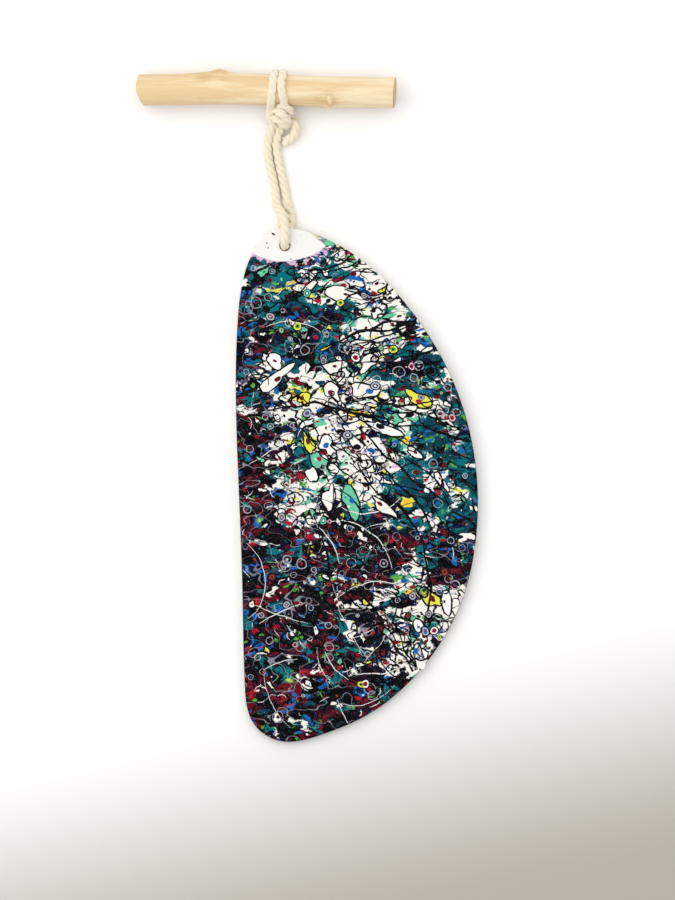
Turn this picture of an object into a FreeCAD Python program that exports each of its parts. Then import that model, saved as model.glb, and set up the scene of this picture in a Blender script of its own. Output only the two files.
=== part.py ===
import FreeCAD, Part
import math
import os

# A thin half-moon board hangs on a doubled cotton cord that is tied round a short peeled stick.
# Here the whole thing lies on a flat surface, face up: z = 0 is that surface, +Y runs from the
# board's pointed foot to the stick, and +X is to the right. All sizes are in millimetres.

# Driving dimensions
CORD = 3.4
BOARD_THICK = 3.2
BOARD_ROUNDING = 0.6
HOLE_RADIUS = 2.1
HOLE_X = -8.9
HOLE_Y = 64.0
STRAND_OFF_BOARD = 0.5
STICK_RADIUS = 6.1
STICK_SLACK = 0.25
TURN_THICK = 2.5
TURN_WIDTH = 3.2
STICK_Y = 126.5
FOLD_Y = 91.0
BIGHT_TOP_Y = 78.0

# Worked out from them
CORD_RADIUS = CORD / 2
STRAND_RISE = BOARD_THICK / 2 + STRAND_OFF_BOARD + CORD_RADIUS
BOARD_MIDDLE_Z = CORD_RADIUS + STRAND_RISE
FRONT_STRAND_Z = BOARD_MIDDLE_Z + STRAND_RISE
TURN_RADIUS = STICK_RADIUS + STICK_SLACK + TURN_THICK / 2
STICK_Z = TURN_RADIUS + TURN_THICK / 2

# The board's edge, clockwise from the top beside the hole. Points are from the hole's centre.
# A shallow back runs down the left, and one long bow runs round the right to the foot.
BOARD_EDGE = (
    (1.5, 7.1),
    (13.2, 4.2),
    (31.1, -5.9),
    (51.8, -27.6),
    (67.5, -54.8),
    (76.0, -86.0),
    (76.8, -112.0),
    (71.2, -140.5),
    (56.0, -167.3),
    (34.8, -186.4),
    (13.2, -195.9),
    (-2.6, -197.8),
    (-12.4, -191.2),
    (-16.1, -175.5),
    (-17.1, -134.5),
    (-19.1, -82.0),
    (-18.7, -27.5),
    (-13.4, -3.6),
    (-6.4, 4.9),
)

# The cord's route down the left leg, over the board's face, through the hole and back up the right leg
LOOP_ROUTE = (
    (-13.4, 112.6, 3.4),
    (-15.5, 107.4, 1.8),
    (-15.9, 102.2, 1.7),
    (-14.9, 96.2, 1.7),
    (-13.8, 90.2, 1.7),
    (-12.5, 84.3, 2.0),
    (-10.9, 79.6, 4.8),
    (-8.9, 75.4, 8.6),
    (-8.5, 70.8, 9.5),
    (-8.9, HOLE_Y - 0.2, FRONT_STRAND_Z),
    (-8.9, HOLE_Y - 0.2, CORD_RADIUS),
    (-7.3, 71.2, 1.7),
    (-6.8, 77.4, 1.7),
    (-8.0, 84.4, 1.7),
    (-9.7, 91.2, 1.7),
    (-11.3, 97.8, 1.7),
    (-12.3, 103.4, 1.7),
    (-12.0, 107.6, 1.8),
    (-9.8, 112.2, 3.4),
)

# The short end that curls out of the knot and lies beside the right leg
TAIL_ROUTE = (
    (-9.5, 115.4, 4.4),
    (-5.7, 114.0, 3.2),
    (-4.1, 110.3, 1.8),
    (-5.6, 106.9, 1.7),
    (-8.4, 105.7, 1.7),
)

# The knot is a close ball of three wraps, drawn up against the stick
KNOT_CENTRE = (-11.0, 115.3, 5.2)
KNOT_HALF_SIZES = (5.0, 5.2, 5.2)

# Each turn round the stick: where its middle lies along the stick, and how far it leans, in degrees.
# The two lean together at the top and open below, above the knot.
TURNS = {
    "hitch_turn_left": (-14.0, -3.5),
    "hitch_turn_right": (-9.5, 2.0),
}

# The stick's centre line, in the plane z = STICK_Z. It runs straight along X where the cord goes round it.
STICK_LINE = (
    (-70.0, STICK_Y - 0.5),
    (-35.0, STICK_Y + 0.6),
    (-24.5, STICK_Y),
    (0.5, STICK_Y),
    (9.5, STICK_Y - 0.7),
    (38.0, STICK_Y - 1.2),
)
STICK_LEFT = -68.3
STICK_RIGHT = 35.6
STICK_BUMP = (-35.0, STICK_Y + 3.6, STICK_Z)
STICK_KNOB = (9.2, STICK_Y - 4.2, STICK_Z + 1.4)


def vector(point):
    """A FreeCAD vector from three numbers."""
    return FreeCAD.Vector(*point)


def rounded_path(points):
    """Straight runs joined by tangent arcs, each as large as its two runs allow, and the arcs' radii."""
    points = [vector(p) for p in points]
    edges = []
    radii = []
    start = points[0]
    for before, corner, after in zip(points, points[1:], points[2:]):
        arriving = corner - before
        leaving = after - corner
        shorter = min(arriving.Length, leaving.Length)
        arriving.normalize()
        leaving.normalize()
        turn = arriving.getAngle(leaving)
        reach = 0.45 * shorter
        radius = reach / math.tan(turn / 2)
        first = corner - arriving * reach
        last = corner + leaving * reach
        inward = leaving - arriving
        inward.normalize()
        middle = corner + inward * (radius / math.cos(turn / 2) - radius)
        edges.append(Part.LineSegment(start, first).toShape())
        edges.append(Part.Arc(first, middle, last).toShape())
        radii.append(radius)
        start = last
    edges.append(Part.LineSegment(start, points[-1]).toShape())
    return Part.Wire(edges), radii


def tube(name, points, radius):
    """A round tube along a rounded path. Its volume is compared with its section times its length."""
    path, radii = rounded_path(points)
    direction = vector(points[1]) - vector(points[0])
    section = Part.Wire(Part.makeCircle(radius, vector(points[0]), direction))
    solid = path.makePipeShell([section], True, False)
    expected = math.pi * radius**2 * path.Length
    print(name, "length", round(path.Length, 1), "radii", [round(r, 1) for r in radii])
    print(name, "volume over section times length", round(solid.Volume / expected, 4))
    return solid


def board():
    """The half-moon board with its hole, tilted so that the cord under it lifts its top."""
    edge = Part.BSplineCurve()
    edge.interpolate(Points=[vector((x, y, -BOARD_THICK / 2)) for x, y in BOARD_EDGE], PeriodicFlag=True)
    plate = Part.Face(Part.Wire(edge.toShape())).extrude(vector((0, 0, BOARD_THICK)))
    drill = Part.makeCylinder(HOLE_RADIUS, 2 * BOARD_THICK, vector((0, 0, -BOARD_THICK)))
    plate = plate.cut(drill)
    level = [e for e in plate.Edges if e.BoundBox.ZLength < 1e-6]
    plate = plate.makeFillet(BOARD_ROUNDING, level).Solids[0]
    foot = min(y for _, y in BOARD_EDGE) + BOARD_ROUNDING
    tilt = math.asin((BOARD_MIDDLE_Z - BOARD_THICK / 2) / -foot)
    print("board tilt in degrees", round(math.degrees(tilt), 3))
    plate.rotate(vector((0, 0, 0)), vector((1, 0, 0)), math.degrees(tilt))
    plate.translate(vector((HOLE_X, HOLE_Y, BOARD_MIDDLE_Z)))
    plate.translate(vector((0, 0, -plate.optimalBoundingBox().ZMin)))
    return plate


def ellipsoid(centre, half_sizes):
    """A ball stretched to three half sizes."""
    stretch = FreeCAD.Matrix()
    stretch.scale(*half_sizes)
    ball = Part.makeSphere(1.0).transformGeometry(stretch)
    ball.translate(vector(centre))
    return ball


def stick():
    """The peeled branch: a round, slightly bent stick with a swelling, a stub of a side shoot and two sawn ends."""
    centre_line = [(x, y, STICK_Z) for x, y in STICK_LINE]
    wood = tube("stick", centre_line, STICK_RADIUS)
    wood = wood.fuse(ellipsoid(STICK_BUMP, (9.0, 4.0, 4.0)))
    wood = wood.fuse(ellipsoid(STICK_KNOB, (2.6, 3.4, 3.4)))
    size = 60.0
    left_cut = Part.makeBox(size, size, size, vector((-size, -size / 2, -size / 2)))
    left_cut.rotate(vector((0, 0, 0)), vector((0, 0, 1)), 12)
    left_cut.translate(vector((STICK_LEFT + 1.3, STICK_Y, STICK_Z)))
    right_cut = Part.makeBox(size, size, size, vector((0, -size / 2, -size / 2)))
    right_cut.rotate(vector((0, 0, 0)), vector((0, 1, 0)), -5)
    right_cut.translate(vector((STICK_RIGHT - 0.5, STICK_Y - 1.2, STICK_Z)))
    return wood.cut(left_cut).cut(right_cut).Solids[0]


def hitch_turn(along, lean):
    """One turn of the cord round the stick, where it is pulled to an oval section."""
    oval = Part.Ellipse(vector((0, TURN_RADIUS, 0)), TURN_WIDTH / 2, TURN_THICK / 2)
    ring = Part.Face(Part.Wire(oval.toShape())).revolve(vector((0, 0, 0)), vector((1, 0, 0)), 360)
    ring.rotate(vector((0, 0, 0)), vector((0, 0, 1)), lean)
    ring.translate(vector((along, STICK_Y, STICK_Z)))
    return ring


def slab(low_y, high_y):
    """Everything between two planes across the cord's two legs."""
    wide = 200.0
    return Part.makeBox(wide, high_y - low_y, wide, vector((-wide / 2, low_y, -wide / 2)))


def cord_loop():
    """The two legs and the bight through the hole, cut where the cord folds and where it meets the board."""
    whole = tube("loop", LOOP_ROUTE, CORD_RADIUS)
    end_y = 150.0
    pieces = {"cord_bight": whole.common(slab(0.0, BIGHT_TOP_Y)).Solids[0]}
    for name, low, high in (("lower", BIGHT_TOP_Y, FOLD_Y), ("upper", FOLD_Y, end_y)):
        legs = sorted(whole.common(slab(low, high)).Solids, key=lambda s: s.CenterOfMass.x)
        pieces["cord_leg_left_" + name] = legs[0]
        pieces["cord_leg_right_" + name] = legs[1]
    return pieces


parts = {
    "board": board(),
    "stick": stick(),
    "cord_knot": ellipsoid(KNOT_CENTRE, KNOT_HALF_SIZES),
    "cord_tail": tube("tail", TAIL_ROUTE, CORD_RADIUS),
}
for turn_name, (turn_along, turn_lean) in TURNS.items():
    parts["cord_" + turn_name] = hitch_turn(turn_along, turn_lean)
parts.update(cord_loop())

os.makedirs("parts", exist_ok=True)
for node, shape in parts.items():
    box = shape.optimalBoundingBox()
    corners = (box.XMin, box.XMax, box.YMin, box.YMax, box.ZMin, box.ZMax)
    print(node, shape.ShapeType, shape.isValid(), round(shape.Volume, 1), [round(c, 2) for c in corners])
    shape.exportStep("parts/" + node + ".step")
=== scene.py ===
# %% [markdown]
# # A painted half-moon board on a cotton cord and a peeled stick
#
# Three things are made here: a thin painted board with one hole, a twisted cotton cord that goes through
# the hole and is tied round a stick, and the stick, a short peeled branch. They lie face up on a pale floor.
# The engineer's model is loaded first. It fixes the size and place of everything, and the looks are built
# on it.

# %% Load the engineer's model
import math
import random

import bmesh
import bpy
import numpy as np
from mathutils import Matrix, Vector, noise
from mathutils.bvhtree import BVHTree


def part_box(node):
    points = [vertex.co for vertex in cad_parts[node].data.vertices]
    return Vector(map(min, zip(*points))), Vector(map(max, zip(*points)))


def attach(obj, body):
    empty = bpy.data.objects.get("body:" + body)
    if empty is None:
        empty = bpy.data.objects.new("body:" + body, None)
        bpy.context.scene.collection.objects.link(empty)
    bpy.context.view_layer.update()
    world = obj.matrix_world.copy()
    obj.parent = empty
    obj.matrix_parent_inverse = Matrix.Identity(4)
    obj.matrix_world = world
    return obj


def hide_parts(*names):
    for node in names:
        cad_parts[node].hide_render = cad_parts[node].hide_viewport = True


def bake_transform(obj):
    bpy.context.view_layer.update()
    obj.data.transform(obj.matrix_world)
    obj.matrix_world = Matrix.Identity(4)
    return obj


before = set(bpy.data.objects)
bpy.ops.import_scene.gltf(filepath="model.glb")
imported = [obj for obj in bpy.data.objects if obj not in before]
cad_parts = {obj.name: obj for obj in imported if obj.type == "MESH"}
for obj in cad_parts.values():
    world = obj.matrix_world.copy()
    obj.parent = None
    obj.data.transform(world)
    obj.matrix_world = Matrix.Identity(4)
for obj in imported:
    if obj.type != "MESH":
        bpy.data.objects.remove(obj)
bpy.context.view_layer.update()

MM = 0.001

# %% [markdown]
# ## The floor, the light and the camera
#
# The object is seen from straight above, as things laid out on a table are. A long lens far away keeps the
# stick and the board at one scale, although the stick stands higher. The light is one large soft box close
# above the upper left, a weak fill and a bright sky, so shadows are very soft.

# %% The camera
VIEW_HEIGHT = 0.360
VIEW_CENTRE = (0.0121, -0.0176)
CAMERA_HEIGHT = 3.6
SENSOR = 36.0

camera_data = bpy.data.cameras.new("camera")
camera_data.sensor_width = SENSOR
camera_data.lens = SENSOR * CAMERA_HEIGHT / VIEW_HEIGHT
camera = bpy.data.objects.new("camera", camera_data)
camera.location = (*VIEW_CENTRE, CAMERA_HEIGHT)
bpy.context.scene.collection.objects.link(camera)
bpy.context.scene.camera = camera
bpy.context.scene.view_settings.view_transform = "Standard"
print("lens", round(camera_data.lens, 1), "mm")


# %% Two helpers: put something in the scene, and start a material
def show(name, data):
    """Puts a mesh, curve or light in the scene under a name."""
    thing = bpy.data.objects.new(name, data)
    bpy.context.scene.collection.objects.link(thing)
    return thing


def start_material(name, roughness):
    """A new material, its node tree and its main shader."""
    material = bpy.data.materials.new(name)
    material.use_nodes = True
    shader = material.node_tree.nodes["Principled BSDF"]
    shader.inputs["Roughness"].default_value = roughness
    return material, material.node_tree, shader


# %% The floor's shape
FLOOR_SIZE = 3.0

shape = bmesh.new()
bmesh.ops.create_grid(shape, x_segments=1, y_segments=1, size=FLOOR_SIZE / 2)
floor_mesh = bpy.data.meshes.new("floor")
shape.to_mesh(floor_mesh)
shape.free()
floor = show("floor", floor_mesh)
print("the floor is", FLOOR_SIZE, "m wide")


# %% The lights
def area_light(name, place, size, power):
    """A square soft light that looks at the frame's origin."""
    data = bpy.data.lights.new(name, "AREA")
    data.size = size
    data.energy = power
    lamp = show(name, data)
    lamp.location = place
    lamp.rotation_mode = "QUATERNION"
    lamp.rotation_quaternion = (-Vector(place)).to_track_quat("-Z", "Y")


# Each light's place and width in metres, and its power in watts.
area_light("window", (-0.32, 0.22, 0.80), 1.2, 5.6)
area_light("fill", (0.9, 0.6, 1.6), 1.6, 1.2)

SKY_BRIGHTNESS = 0.72
world = bpy.data.worlds.new("sky")
bpy.context.scene.world = world
world.use_nodes = True
background = world.node_tree.nodes["Background"]
background.inputs["Color"].default_value = (1.0, 1.0, 1.0, 1.0)
background.inputs["Strength"].default_value = SKY_BRIGHTNESS
print("lights:", [light.name for light in bpy.data.lights])

# %% [markdown]
# ## Helpers for materials
#
# Every finish here is worked out by shader nodes, from the place on the piece. A few short helpers keep that
# readable: one adds a node and fills its inputs, the others are the sums and patterns that every finish uses.
# Places are counted in millimetres, so that a pattern's size can be given as it would be measured on the
# object.


# %% Nodes, sums and mixes
def add_node(kind, settings, inputs, tree=None):
    """A shader node with its settings made and its inputs set or linked. It joins the tree that its linked
    sockets belong to. Only a node without any, at the start of a pattern, has to be told its tree."""
    if tree is None:
        tree = next(value.id_data for value in inputs.values() if isinstance(value, bpy.types.NodeSocket))
    node = tree.nodes.new(kind)
    for name, value in settings.items():
        setattr(node, name, value)
    for name, value in inputs.items():
        if isinstance(value, bpy.types.NodeSocket):
            tree.links.new(value, node.inputs[name])
        else:
            node.inputs[name].default_value = value
    return node


def calculate(operation, first, second=0.0, third=0.0):
    """One sum on numbers or sockets."""
    node = add_node("ShaderNodeMath", {"operation": operation}, {0: first, 1: second, 2: third})
    return node.outputs[0]


def times(first, second, added=0.0):
    """A product, with something added to it."""
    return calculate("MULTIPLY_ADD", first, second, added)


def mix(share, under, over, strength=1.0):
    """One colour laid over another, by a share from 0 to 1 that a strength may weaken."""
    if strength < 1.0:
        share = times(share, strength)
    node = add_node("ShaderNodeMix", {"data_type": "RGBA"}, {0: share, 6: under, 7: over})
    return node.outputs[2]


def rise(value, low, high):
    """0 below low and 1 above high, with a soft step between. A high below low gives a falling step."""
    node = add_node("ShaderNodeMapRange", {"interpolation_type": "SMOOTHSTEP"},
                    {"Value": value, "From Min": low, "From Max": high})
    return node.outputs["Result"]


# %% Places on the piece
def place_in_mm(tree, stretch=(1.0, 1.0, 1.0), turn=0.0, shift=(0.0, 0.0, 0.0)):
    """The place on the piece in millimetres, stretched, turned about Z and shifted."""
    source = add_node("ShaderNodeTexCoord", {}, {}, tree).outputs["Object"]
    scale = [part / MM for part in stretch]
    rotation = (0.0, 0.0, math.radians(turn))
    node = add_node("ShaderNodeMapping", {},
                    {"Vector": source, "Scale": scale, "Rotation": rotation, "Location": shift})
    return node.outputs["Vector"]


def parts_of(place):
    """The X, Y and Z of a place."""
    return add_node("ShaderNodeSeparateXYZ", {}, {"Vector": place}).outputs


def length_of(place):
    """How far a place lies from the middle of its pattern."""
    return add_node("ShaderNodeVectorMath", {"operation": "LENGTH"}, {0: place}).outputs["Value"]


def away_from(tree, centre, stretch=(1.0, 1.0, 1.0)):
    """The distance in millimetres from a centre, counted more in the directions with a larger stretch."""
    shift = [-part * size for part, size in zip(centre, stretch)]
    return length_of(place_in_mm(tree, stretch, 0.0, shift))


# %% Patterns, colours and relief
def cloud(place, size, detail=2.0, roughness=0.5, output="Fac"):
    """Soft noise whose blotches are about size millimetres across."""
    node = add_node("ShaderNodeTexNoise", {},
                    {"Vector": place, "Scale": 1.0 / size, "Detail": detail, "Roughness": roughness})
    return node.outputs[output]


def tint(*chart):
    """A colour given as a painter's chart gives it, from 0 to 255, as the light values that shaders want."""
    linear = [((part / 255 + 0.055) / 1.055) ** 2.4 if part > 10 else part / 3294.6 for part in chart]
    return (*linear, 1.0)


def coat(shader, colour, roughness, shine=None):
    """Joins a colour and a roughness to the shader, and sets how strongly it shines."""
    tree = shader.id_data
    tree.links.new(colour, shader.inputs["Base Color"])
    tree.links.new(roughness, shader.inputs["Roughness"])
    if shine is not None:
        shader.inputs["Specular IOR Level"].default_value = shine


def bump(shader, height, strength, distance):
    """Joins a height pattern to the shader as fine relief. The distance is in millimetres."""
    node = add_node("ShaderNodeBump", {},
                    {"Height": height, "Strength": strength, "Distance": distance * MM})
    shader.id_data.links.new(node.outputs["Normal"], shader.inputs["Normal"])


# %% [markdown]
# ## The floor's finish
#
# A plain pale floor shows the object best. Real light is never quite even over a table, and here it falls
# off towards the bottom, on the side where whoever looks down stands in it. More lamps could shape that, but
# they would change the object too, so the floor's own colour dims instead, along a line that leans a little.

# %% The floor's finish: pale, and dimmer towards the bottom
FLOOR_BRIGHT = (0.97, 0.965, 0.95, 1.0)
FLOOR_DIM = (0.46, 0.42, 0.37, 1.0)
DIM_FROM = -98.0
DIM_TO = -215.0
DIM_LEAN = -0.22

floor_material, floor_tree, floor_shader = start_material("pale_floor", 0.9)
floor_parts = parts_of(place_in_mm(floor_tree))
dimmer = times(floor_parts["X"], DIM_LEAN, floor_parts["Y"])
floor_colour = mix(rise(dimmer, DIM_FROM, DIM_TO), FLOOR_BRIGHT, FLOOR_DIM)
floor_tree.links.new(floor_colour, floor_shader.inputs["Base Color"])
floor.data.materials.append(floor_material)
print("the floor dims over", round(DIM_FROM - DIM_TO), "mm")

# %% [markdown]
# ## The cord
#
# The cord is soft cotton, three plies laid together with a left-hand twist. A plain tube with a picture of
# twist on it looks wrong at its edges, so each ply is a real tube that winds round the cord's line. The line
# itself is a smooth spline led by a few listed points. Where the cord is squeezed, against the stick
# or under the board, the plies are pushed sideways and lie flatter, as soft cord does.

# %% Curves, and the meshes they make
def new_curve(name, thickness=0.0, roundness=0):
    """An empty curve in space, which becomes a tube if it has a thickness."""
    curve = bpy.data.curves.new(name, "CURVE")
    curve.dimensions = "3D"
    curve.bevel_depth = thickness
    curve.bevel_resolution = roundness
    return curve


def mesh_of(curve):
    """The mesh that a curve makes."""
    holder = bpy.data.objects.new(curve.name, curve)
    mesh = bpy.data.meshes.new_from_object(holder)
    bpy.data.objects.remove(holder)
    return mesh


# %% A smooth line led by listed points, with a point every quarter millimetre
STEP = 0.25 * MM
SPLINE_STEPS = 24


def smooth_line(name, route):
    """The points of a NURBS spline that has the route's points as its control points, evenly spaced."""
    curve = new_curve(name)
    curve.resolution_u = SPLINE_STEPS
    spline = curve.splines.new("NURBS")
    spline.points.add(len(route) - 1)
    for point, place in zip(spline.points, route):
        point.co = (*place, 1.0)
    spline.order_u = 3
    spline.use_endpoint_u = True
    mesh = mesh_of(curve)
    raw = np.array([v.co for v in mesh.vertices])
    bpy.data.meshes.remove(mesh)
    along = np.concatenate([[0.0], np.cumsum(np.linalg.norm(np.diff(raw, axis=0), axis=1))])
    even = np.linspace(0.0, along[-1], round(along[-1] / STEP) + 1)
    line = np.stack([np.interp(even, along, raw[:, k]) for k in range(3)], axis=1)
    print(name, "is", round(along[-1] * 1000, 1), "mm long, with", len(line), "points")
    return line


# %% Directions along and across a line
def directions(line):
    """The line's direction at each point, and two directions across it that don't spin along it."""
    forward = np.gradient(line, axis=0)
    forward /= np.linalg.norm(forward, axis=1)[:, None]
    side = np.cross(forward[0], (0.0, 0.0, 1.0))
    if np.linalg.norm(side) < 0.1:
        side = np.cross(forward[0], (1.0, 0.0, 0.0))
    sides = []
    for ahead in forward:
        side = side - ahead * side.dot(ahead)
        side = side / np.linalg.norm(side)
        sides.append(side)
    sides = np.array(sides)
    return forward, sides, np.cross(forward, sides)


# %% [markdown]
# ## The loop of cord through the board
#
# It leaves the knot as the left leg, runs down beside its twin, climbs over the board's face, drops through
# the hole, comes back under the board and returns to the knot as the right leg. Under the board it is
# squashed, so the plies spread there and show on both sides of the front strand.

LOOP_ROUTE = (
    (-0.0134, 0.1126, 0.0046),
    (-0.0154, 0.1078, 0.0024),
    (-0.0161, 0.1022, 0.0018),
    (-0.0150, 0.0962, 0.0018),
    (-0.0135, 0.0902, 0.0018),
    (-0.0125, 0.0843, 0.0019),
    (-0.0124, 0.0798, 0.0036),
    (-0.0096, 0.0763, 0.0082),
    (-0.0087, 0.0708, 0.0092),
    (-0.0089, 0.0638, 0.0094),
    (-0.0089, 0.0638, 0.0017),
    (-0.0082, 0.0706, 0.0017),
    (-0.0078, 0.0768, 0.0017),
    (-0.0083, 0.0844, 0.0018),
    (-0.0099, 0.0912, 0.0018),
    (-0.0113, 0.0978, 0.0018),
    (-0.0124, 0.1034, 0.0018),
    (-0.0122, 0.1076, 0.0023),
    (-0.0102, 0.1122, 0.0042),
)
loop_line = smooth_line("loop_line", LOOP_ROUTE)

# %% [markdown]
# ## The hitch, the knot and the tail
#
# One more length of the same cord: it comes up out of the knot, goes twice round the stick, dives back, wraps
# three times round everything to make the knot, and ends in a short curl. The two turns round the stick are a
# coil, so a loop works out their points. The knot's wraps and the curl are listed point by point.

# %% The coil round the stick, in degrees of turn, with its place along the stick at some of them
STICK_AXIS_Y = 0.1262
STICK_AXIS_Z = 0.00885
STICK_RADIUS = 6.1 * MM
COIL_RADIUS = STICK_RADIUS + 1.22 * MM
COIL_START = 168
COIL_STEP = 30
COIL_END = 631
COIL_TURN = (0, 80, 170, 260, 330, 372, 400, 425, 445, 480, 510, 530, 600, 640)
COIL_PLACE = (-14.7, -13.9, -12.7, -12.4, -11.0, -8.8, -9.2, -10.1, -10.6, -10.0, -9.5, -9.4, -9.2, -9.0)

coil = []
for turned in np.arange(0, COIL_END, COIL_STEP):
    angle = math.radians(COIL_START - turned)
    coil.append((
        float(np.interp(turned, COIL_TURN, COIL_PLACE)) * MM,
        STICK_AXIS_Y + COIL_RADIUS * math.cos(angle),
        STICK_AXIS_Z + COIL_RADIUS * math.sin(angle),
    ))
print("the coil has", len(coil), "points")

# %% The whole route of this length of cord
KNOT_IN = (
    (-0.0126, 0.1116, 0.0036),
    (-0.0142, 0.1138, 0.0048),
    (-0.0149, 0.1164, 0.0074),
)
KNOT_OUT = (
    (-0.0094, 0.1216, 0.0020),
    (-0.0118, 0.1200, 0.0024),
    (-0.0130, 0.1194, 0.0056),
    (-0.0120, 0.1192, 0.0098),
    (-0.0098, 0.1196, 0.0122),
    (-0.0076, 0.1190, 0.0118),
    (-0.0064, 0.1172, 0.0076),
    (-0.0086, 0.1164, 0.0030),
    (-0.0122, 0.1170, 0.0024),
    (-0.0143, 0.1178, 0.0052),
    (-0.0134, 0.1182, 0.0092),
    (-0.0112, 0.1173, 0.0112),
    (-0.0087, 0.1155, 0.0106),
    (-0.0071, 0.1132, 0.0066),
    (-0.0086, 0.1136, 0.0028),
    (-0.0120, 0.1142, 0.0022),
    (-0.0142, 0.1150, 0.0050),
    (-0.0127, 0.1148, 0.0084),
    (-0.0103, 0.1132, 0.0088),
    (-0.0081, 0.1118, 0.0062),
    (-0.0082, 0.1122, 0.0034),
    (-0.0066, 0.1138, 0.0036),
    (-0.0048, 0.1132, 0.0052),
    (-0.0044, 0.1104, 0.0052),
    (-0.0052, 0.1080, 0.0036),
    (-0.0072, 0.1064, 0.0026),
    (-0.0092, 0.1054, 0.0022),
)
hitch_line = smooth_line("hitch_line", (*KNOT_IN, *coil, *KNOT_OUT))


# %% How each stretch is squeezed
def ease(value, low, high):
    """0 below low, 1 above high, and a smooth rise between."""
    share = np.clip((value - low) / (high - low), 0.0, 1.0)
    return share * share * (3 - 2 * share)


def squeeze_by_stick(line):
    """Across the stick, and how much, for each point of the line. It fades within a few millimetres."""
    towards = line - np.array((0.0, STICK_AXIS_Y, STICK_AXIS_Z))
    towards[:, 0] = 0.0
    distance = np.linalg.norm(towards, axis=1)
    towards /= distance[:, None]
    amount = 1 - ease(distance, STICK_RADIUS + 1.5 * MM, STICK_RADIUS + 2.6 * MM)
    return towards, amount


def squeeze_by_board(line):
    """Straight down, where the line is low and runs under the board or close beside it."""
    down = np.tile((0.0, 0.0, 1.0), (len(line), 1))
    low = 1 - ease(line[:, 2], 2.4 * MM, 4.5 * MM)
    near = 1 - ease(line[:, 1], 75 * MM, 82 * MM)
    return down, low * near


# %% Lay the three plies along a line
PLY_RADIUS = 1.04 * MM
PLY_OFFSET = 0.82 * MM
LAY_LENGTH = 10.0 * MM
PLY_ROUNDNESS = 4
PLY_UNEVENNESS = 0.10


def lay_plies(name, line, squeeze, flatten, spread, thickness, level_spot):
    """Three round plies that wind left-handed round the line, as one mesh. Thickness is a share of the ply's
    size at each point of the line. At the level spot two of the plies lie side by side, with the third
    between them."""
    _, across, up = directions(line)
    towards, amount = squeeze
    level_index = np.linalg.norm(line - np.array(level_spot), axis=1).argmin()
    curve = new_curve(name, PLY_RADIUS, PLY_ROUNDNESS)
    curve.use_fill_caps = True
    for ply in range(3):
        turn = math.pi / 2 - 2 * math.pi * (np.arange(len(line)) - level_index) * STEP / LAY_LENGTH
        turn += ply * 2 * math.pi / 3
        offset = PLY_OFFSET * (np.cos(turn)[:, None] * across + np.sin(turn)[:, None] * up)
        offset *= thickness[:, None]
        pressed = (offset * towards).sum(1)[:, None] * towards
        loose = offset - pressed
        share = amount[:, None]
        offset = pressed * (1 - share * (1 - flatten)) + loose * (1 + share * (spread - 1))
        centres = line + offset
        spline = curve.splines.new("POLY")
        spline.points.add(len(line) - 1)
        for k, (point, place) in enumerate(zip(spline.points, centres)):
            uneven = 1.0 + PLY_UNEVENNESS * noise.noise(Vector((k * 0.035, ply * 7.3, len(line) * 0.1)))
            point.co = (*place, 1.0)
            point.radius = uneven * thickness[k]
    mesh = mesh_of(curve)
    for vert in mesh.vertices:
        vert.co.z = max(vert.co.z, 0.0)
    print(name, "has", len(mesh.polygons), "faces")
    return show(name, mesh)


# %% The two lengths of cord
LEVEL_UNDER_BOARD = (-0.0076, 0.0728, 0.0017)
LEVEL_ON_STICK = (-0.0139, 0.1262, 0.0162)
TAIL_LENGTH = 14.0 * MM

loop_squeeze = squeeze_by_board(loop_line)
loop_size = 1.0 + 0.15 * loop_squeeze[1]
hitch_squeeze = squeeze_by_stick(hitch_line)
hitch_points = len(hitch_line)
hitch_size = 0.96 + 0.26 * ease(np.arange(hitch_points), hitch_points - TAIL_LENGTH / STEP, hitch_points)

loop_cord = lay_plies("loop_cord", loop_line, loop_squeeze, flatten=0.3, spread=2.7,
                      thickness=loop_size, level_spot=LEVEL_UNDER_BOARD)
hitch_cord = lay_plies("hitch_cord", hitch_line, hitch_squeeze, flatten=0.25, spread=0.95,
                       thickness=hitch_size, level_spot=LEVEL_ON_STICK)


# %% [markdown]
# ## The cord's fuzz
#
# Cotton is spun from short fibres, and their loose ends stand off the cord. They are hardly seen one by one,
# but they soften its outline. Hair particles would be lost when the model leaves Blender, so each loose end
# is a very thin curved tube. It starts on the cord's surface, leaves it at a slant and curls back a little.

# %% Loose fibre ends along a cord
FIBRE_RADIUS = 0.014 * MM
FIBRE_POINTS = 5


def fuzz(name, cord, count, seed):
    """Many short thin fibre ends that stand off a cord's surface, as one mesh."""
    dice = random.Random(seed)
    faces = cord.data.polygons
    curve = new_curve(name, FIBRE_RADIUS)
    for _ in range(count):
        face = faces[dice.randrange(len(faces))]
        slant = Vector([dice.uniform(-1, 1) for _ in range(3)])
        away = (face.normal + 0.8 * slant).normalized()
        curl = Vector([dice.uniform(-1, 1) for _ in range(3)])
        length = dice.uniform(0.4, 1.5) * MM
        spline = curve.splines.new("POLY")
        spline.points.add(FIBRE_POINTS - 1)
        for k, point in enumerate(spline.points):
            share = k / (FIBRE_POINTS - 1)
            place = face.center + length * (share * away + 0.45 * share * share * curl)
            place.z = max(place.z, FIBRE_RADIUS)
            point.co = (*place, 1.0)
            point.radius = 1.0 - 0.6 * share
    return show(name, mesh_of(curve))


loop_fuzz = fuzz("loop_fuzz", loop_cord, count=900, seed=3)
hitch_fuzz = fuzz("hitch_fuzz", hitch_cord, count=1200, seed=4)
print("the fuzz has", len(loop_fuzz.data.polygons) + len(hitch_fuzz.data.polygons), "faces")
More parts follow.
